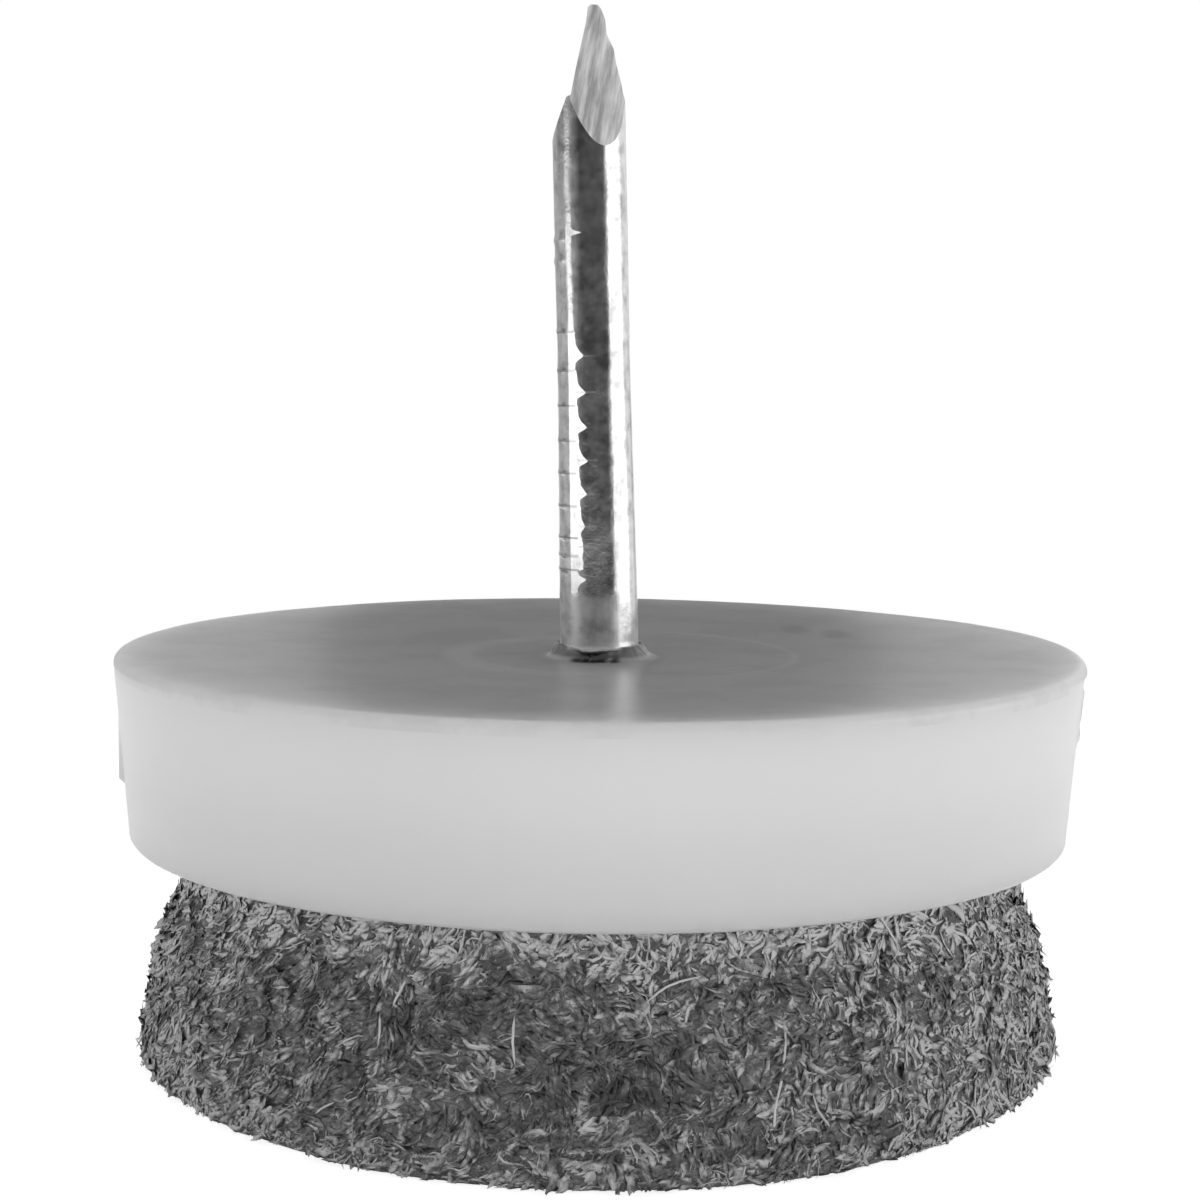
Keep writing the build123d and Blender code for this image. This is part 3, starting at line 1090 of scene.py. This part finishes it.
def grown(name, ground, tree, values):
    """Runs a node tree on a ground mesh and returns the result as a plain piece."""
    holder = linked(ground, name + "_ground")
    modifier = holder.modifiers.new("grow", "NODES")
    modifier.node_group = tree
    sockets = {s.name: s.identifier for s in tree.interface.items_tree if s.in_out == "INPUT"}
    for key, value in values.items():
        modifier[sockets[key]] = value
    graph = bpy.context.evaluated_depsgraph_get()
    mesh = bpy.data.meshes.new_from_object(holder.evaluated_get(graph))
    mesh.name = name
    press_on_floor(mesh)
    bpy.data.objects.remove(holder)
    return linked(mesh, name)


# The layers of loose wool, from dark to pale: name, share of the fibres, then thickness as a share,
# curl, tilt, how far off the body it lies in mm, and lowest and highest shade
WOOL_LAYERS = (
    ("wool_under", 1, 3.4, 0.6, 0.04, -0.02, 0.36, 0.5),
    ("wool_mid", 1, 3.0, 0.7, 0.05, -0.01, 0.38, 0.54),
    ("wool_marl", 1, 2.4, 0.8, 0.07, 0.0, 0.4, 0.58),
    ("wool_light", 1, 1.6, 1.0, 0.1, 0.01, 0.42, 0.64),
    ("wool_curls", 1 / 3, 0.7, 1.3, 0.14, 0.03, 0.45, 0.85),
)


class GLIDE_OT_wool(bpy.types.Operator):
    """Scatters the loose wool over the felt pad, in layers from dark to pale"""

    bl_idname = "glide.wool"
    bl_label = "Loose wool"

    def execute(self, context):
        wool = context.scene.glide_wool
        material = wool_fibre(context.scene.glide_finish)
        tree = wool_tree(material)
        ground = felt_mesh(context.scene.glide_felt, "wool_ground")
        for seed, (name, fibres, thick, curl, tilt, lift, low, high) in enumerate(WOOL_LAYERS, 1):
            values = {
                "Count": int(wool.fibres * fibres),
                "Thickness": wool.thickness * thick * MM,
                "Length": wool.length * MM,
                "Curl": curl,
                "Tilt": tilt,
                "Lift": lift * MM,
                "Shade low": low,
                "Shade high": high,
                "Lowest": 0.1 * MM,
                "Highest": (RIM_Z - 0.3) * MM,
                "Seed": seed,
            }
            piece = grown(name, ground, tree, values)
            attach(piece, BODY)
        return {"FINISHED"}


# Stray hairs that lie on the felt, each as bearings in degrees from +X and heights in mm
STRAY_HAIRS = (
    ((290, 4.5), (291, 4.1), (291.5, 3.6), (291, 3), (290.5, 2.5), (289.5, 1.8))
    + ((289.5, 1.1), (291, 0.5), (292.5, 0.2)),
    ((245, 3.9), (245.5, 3.4), (245.5, 3)),
    ((247.5, 4.7), (247, 4.4), (246.5, 4)),
    ((238.5, 1.2), (239.5, 1.4), (241, 1.6)),
    ((294, 2.2), (294.5, 1.7), (296, 1.2)),
    ((261, 4.2), (261, 3.5), (261.5, 2.9)),
    ((275.5, 4.4), (278.5, 4.8), (282.5, 5)),
    ((305, 6.5), (309.5, 5.2), (308, 4.8)),
)


def strand(points, radius, sides=5):
    """A tapered tube through the points as vertices and faces, closed at its tips."""
    vertices, faces = [tuple(points[0])], []
    last = len(points) - 1
    for i in range(1, last):
        along = (points[i + 1] - points[i - 1]).normalized()
        across = along.cross(Vector((0, 0, 1)) if abs(along.z) < 0.9 else Vector((1, 0, 0))).normalized()
        over = along.cross(across)
        slim = radius * min(1.0, 4 * i / last, 4 * (last - i) / last)
        for k in range(sides):
            turn = 2 * math.pi * k / sides
            vertices.append(tuple(points[i] + (across * math.cos(turn) + over * math.sin(turn)) * slim))
    vertices.append(tuple(points[-1]))
    for k in range(sides):
        after = (k + 1) % sides
        faces.append((0, 1 + after, 1 + k))
        for i in range(last - 2):
            here, there = 1 + i * sides, 1 + (i + 1) * sides
            faces.append((here + k, here + after, there + after, there + k))
        end = 1 + (last - 2) * sides
        faces.append((end + k, end + after, len(vertices) - 1))
    return vertices, faces


def pale_hair(settings):
    """A loose white hair."""
    material, tree, shader = new_material("pale_hair")
    tone = cloud(tree, object_point(tree), 1500, detail=2)
    high = settings.wool_light
    tree.links.new(ramp(tree, tone, [(0.3, high), (0.7, high * 1.5)]), shader.inputs["Base Color"])
    shader.inputs["Roughness"].default_value = 0.6
    return material


class GLIDE_OT_hairs(bpy.types.Operator):
    """Lays a few stray hairs on the felt"""

    bl_idname = "glide.hairs"
    bl_label = "Stray hairs"

    def execute(self, context):
        wool = context.scene.glide_wool
        side = [p for p in felt_outline(context.scene.glide_felt) if p[0] > 11.5 and p[1] < RIM_Z]
        vertices, faces = [], []
        for hair in STRAY_HAIRS:
            points = []
            for bearing, height in smooth_through(list(hair), 0.35):
                reach = min(side, key=lambda p: abs(p[1] - height))[0] + wool.hair_lift
                turn = math.radians(bearing)
                points.append(Vector((reach * math.cos(turn), reach * math.sin(turn), height)) * MM)
            tube, sheets = strand(points, wool.hair_radius * MM)
            faces += [tuple(i + len(vertices) for i in sheet) for sheet in sheets]
            vertices += tube
        mesh = bpy.data.meshes.new("stray_hairs")
        mesh.from_pydata(vertices, [], faces)
        hairs = shown(mesh, "stray_hairs", pale_hair(context.scene.glide_finish))
        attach(hairs, BODY)
        return {"FINISHED"}


# Middle of what the lamps light
GLIDE_MIDDLE = Vector((0, 0, 9 * MM))


def lamp(name, bearing, elevation, distance, width, height, power):
    """A soft rectangular lamp aimed at the middle of the glide, unseen in reflections."""
    light = bpy.data.lights.new(name, "AREA")
    light.shape = "RECTANGLE"
    light.size, light.size_y = width, height
    light.energy = power
    holder = bpy.data.objects.new(name, light)
    turn, rise = math.radians(bearing), math.radians(elevation)
    away = Vector((math.sin(turn) * math.cos(rise), -math.cos(turn) * math.cos(rise), math.sin(rise)))
    holder.location = GLIDE_MIDDLE + away * distance
    holder.rotation_mode = "QUATERNION"
    holder.rotation_quaternion = away.to_track_quat("Z", "Y")
    holder.visible_glossy = False
    bpy.context.scene.collection.objects.link(holder)


# How far the studio cards stand from the glide, in metres
CARD_REACH = 0.3

# Studio cards that the shiny parts mirror: bearing from and to, elevation from and to, and brightness.
# Bearings count from the front, with the right positive.
CARDS = (
    ("grey_left_back_low", -160, -120, -14, 2.5, 0.5),
    ("grey_left_back_high", -164, -120, 2.5, 40, 0.55),
    ("grey_left", -120, -84, -14, 3.0, 0.6),
    ("grey_left_high", -120, -84, 3.0, 4.6, 0.42),
    ("grey_left_top", -120, -84, 4.6, 22, 0.3),
    ("lit_left", -84, -66, -6.7, 3.0, 2.4),
    ("lit_left_high", -84, -66, 3.0, 4.8, 0.95),
    ("lit_left_top", -84, -66, 4.8, 22, 0.3),
    ("shade_left", -66, -50, -6.7, 22, 0.34),
    ("dim_left", -50, -38, -6.7, 22, 0.17),
    ("dark_front", -38, 46, -6.7, 22, 0.072),
    ("low_front", -84, 46, -14, -6.7, 0.42),
    ("dim_right", 46, 54, -14, 22, 0.32),
    ("lit_right", 54, 108, -14, 18, 2.0),
    ("grey_right_back", 140, 160, -14, 2.5, 0.6),
    ("dark_back", 172, 188, 2.5, 40, 0.06),
    ("grey_back_right", 162, 172, 2.5, 40, 0.64),
    ("grey_back_left", 188, 196, 2.5, 40, 0.64),
)


def card(name, start, end, low, high, tone):
    """A curved card round the glide that only reflections see."""
    columns = max(2, round(abs(end - start) / 4))
    vertices = []
    for i in range(columns + 1):
        turn = math.radians(start + (end - start) * i / columns)
        for elevation in (low, high):
            rise = math.radians(elevation)
            out = CARD_REACH * math.cos(rise)
            height = SEAT_Z * MM + CARD_REACH * math.sin(rise)
            vertices.append((out * math.sin(turn), -out * math.cos(turn), height))
    mesh = bpy.data.meshes.new(name)
    mesh.from_pydata(vertices, [], [(a, a + 1, a + 3, a + 2) for a in range(0, 2 * columns, 2)])
    material, tree, surface = bare_material(name)
    glow = placed(tree, "ShaderNodeEmission", {"Color": plain(1), "Strength": tone})
    tree.links.new(glow, surface)
    piece = shown(mesh, name, material)
    for ray in ("camera", "diffuse", "transmission", "shadow"):
        setattr(piece, "visible_" + ray, False)


def seen_rays(tree):
    """1 for what the camera sees, in mirrors and through the glide too, and 0 for light on the pieces."""
    rays = tree.nodes.new("ShaderNodeLightPath").outputs
    seen = math_of(tree, "MAXIMUM", rays["Is Camera Ray"], rays["Is Glossy Ray"])
    return math_of(tree, "MAXIMUM", seen, rays["Is Transmission Ray"])


def studio_world():
    """White for the camera and for mirrors. What lights the pieces is a soft low band, dim above."""
    world = bpy.data.worlds.new("studio")
    bpy.context.scene.world = world
    world.use_nodes = True
    tree = world.node_tree
    tree.nodes.clear()
    apart = tree.nodes.new("ShaderNodeSeparateXYZ")
    tree.links.new(tree.nodes.new("ShaderNodeTexCoord").outputs["Generated"], apart.inputs["Vector"])
    band = ramp(tree, apart.outputs["Z"], [(0.0, 0.84), (0.15, 0.8), (0.45, 0.22), (1.0, 0.2)])
    lit = placed(tree, "ShaderNodeBackground", {"Color": band})
    white = placed(tree, "ShaderNodeBackground", {"Color": plain(1)})
    inputs = {"Fac": seen_rays(tree), "Shader": lit, "Shader_001": white}
    mix = placed(tree, "ShaderNodeMixShader", inputs)
    tree.links.new(mix, tree.nodes.new("ShaderNodeOutputWorld").inputs["Surface"])


def pale_floor():
    """A white floor that keeps a soft shadow and throws only diffuse light back at the glide."""
    material, tree, surface = bare_material("pale_floor")
    matt = placed(tree, "ShaderNodeBsdfDiffuse", {"Color": plain(0.94)})
    glow = {"Color": plain(1), "Strength": product(tree, seen_rays(tree), 0.8)}
    inputs = {"Shader": matt, "Shader_001": placed(tree, "ShaderNodeEmission", glow)}
    tree.links.new(placed(tree, "ShaderNodeAddShader", inputs), surface)
    return material


class GLIDE_OT_stage(bpy.types.Operator):
    """Sets the floor, lamps, surroundings and camera"""

    bl_idname = "glide.stage"
    bl_label = "Stage"

    def execute(self, context):
        scene = context.scene
        radius, steps = 90 * MM, 96
        turns = [2 * math.pi * i / steps for i in range(steps)]
        rim = [(math.cos(turn) * radius, math.sin(turn) * radius, 0) for turn in turns]
        mesh = bpy.data.meshes.new("floor")
        mesh.from_pydata(rim, [], [list(range(steps))])
        floor = shown(mesh, "floor", pale_floor())
        studio_world()
        for values in CARDS:
            card(*values)
        lamp("right", 54, 1, 0.35, 0.30, 0.06, 0.6)
        lamp("left", -54, 1, 0.35, 0.30, 0.06, 0.45)
        camera = bpy.data.objects.new("camera", bpy.data.cameras.new("camera"))
        scene.collection.objects.link(camera)
        # Fitted to the photograph: 69 mm from the nail, 8.8 mm above the top face, looking down 6.1 degrees
        camera.location = (0, -69.0 * MM, (SEAT_Z + 8.8) * MM)
        pitch, roll = 0.1066, -0.0113
        look = Matrix.Rotation(math.pi / 2 - pitch, 3, "X") @ Matrix.Rotation(-roll, 3, "Z")
        camera.rotation_mode = "QUATERNION"
        camera.rotation_quaternion = look.to_quaternion()
        focal_length, picture_width = 2366, 1200
        camera.data.sensor_width = 36.0
        camera.data.lens = camera.data.sensor_width * focal_length / picture_width
        camera.data.clip_start = 0.005
        camera.data.clip_end = 10.0
        scene.camera = camera
        scene.view_settings.view_transform = "Standard"
        return {"FINISHED"}


class GLIDE_PT_panel(bpy.types.Panel):
    """Lists the glide's pieces and settings"""

    bl_label = "Felt furniture glide"
    bl_idname = "GLIDE_PT_panel"
    bl_space_type = "VIEW_3D"
    bl_region_type = "UI"
    bl_category = "Glide"

    def draw(self, context):
        layout = self.layout
        for operator in OPERATORS:
            layout.operator(operator.bl_idname)
        for name in SETTINGS:
            group = getattr(context.scene, name)
            box = layout.box()
            for prop in group.bl_rna.properties:
                if prop.identifier not in ("name", "rna_type"):
                    box.prop(group, prop.identifier)


SETTINGS = {
    "glide_finish": GlideFinish,
    "glide_nail": GlideNail,
    "glide_felt": GlideFelt,
    "glide_wool": GlideWool,
}
OPERATORS = (
    GLIDE_OT_stage,
    GLIDE_OT_nail,
    GLIDE_OT_base,
    GLIDE_OT_glue,
    GLIDE_OT_felt,
    GLIDE_OT_wool,
    GLIDE_OT_hairs,
)


def register():
    for group in SETTINGS.values():
        bpy.utils.register_class(group)
    for name, group in SETTINGS.items():
        setattr(bpy.types.Scene, name, bpy.props.PointerProperty(type=group))
    for operator in OPERATORS:
        bpy.utils.register_class(operator)
    bpy.utils.register_class(GLIDE_PT_panel)


def unregister():
    bpy.utils.unregister_class(GLIDE_PT_panel)
    for operator in reversed(OPERATORS):
        bpy.utils.unregister_class(operator)
    for name in SETTINGS:
        delattr(bpy.types.Scene, name)
    for group in reversed(SETTINGS.values()):
        bpy.utils.unregister_class(group)


def main():
    register()
    bpy.ops.glide.stage()
    bpy.ops.glide.nail()
    bpy.ops.glide.base()
    bpy.ops.glide.glue()
    bpy.ops.glide.felt()
    bpy.ops.glide.wool()
    bpy.ops.glide.hairs()


if __name__ == "__main__":
    main()
